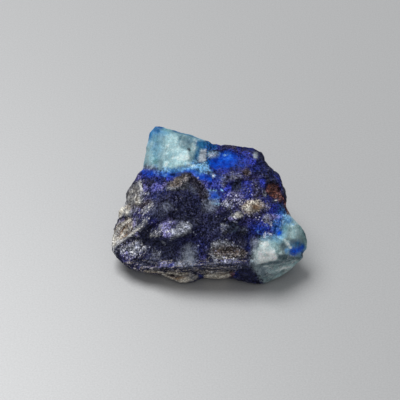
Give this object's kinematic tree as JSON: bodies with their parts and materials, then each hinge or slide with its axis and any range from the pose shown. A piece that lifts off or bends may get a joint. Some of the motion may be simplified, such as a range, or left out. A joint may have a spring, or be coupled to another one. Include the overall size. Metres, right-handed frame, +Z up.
{
  "type": "afghanite specimen",
  "caption": "Rough chip of blue afghanite and lazurite with cloudy pale crystal and dark matrix, grown as one mass and resting on a flat broken foot.",
  "frame": {"origin": "centre of the bounding box in plan, on the flat face that the stone rests on", "axes": "+X along the longest side, +Z up from the resting face, -Y out of the broad broken front"},
  "size_m": [0.0338, 0.0256, 0.0167],
  "materials": {
    "stone": "rough broken surface, granular deep blue, with waxy translucent pale teal crystal at two corners"
  },
  "bodies": {
    "root": {"afghanite_specimen": "stone"}
  },
  "joints": []
}
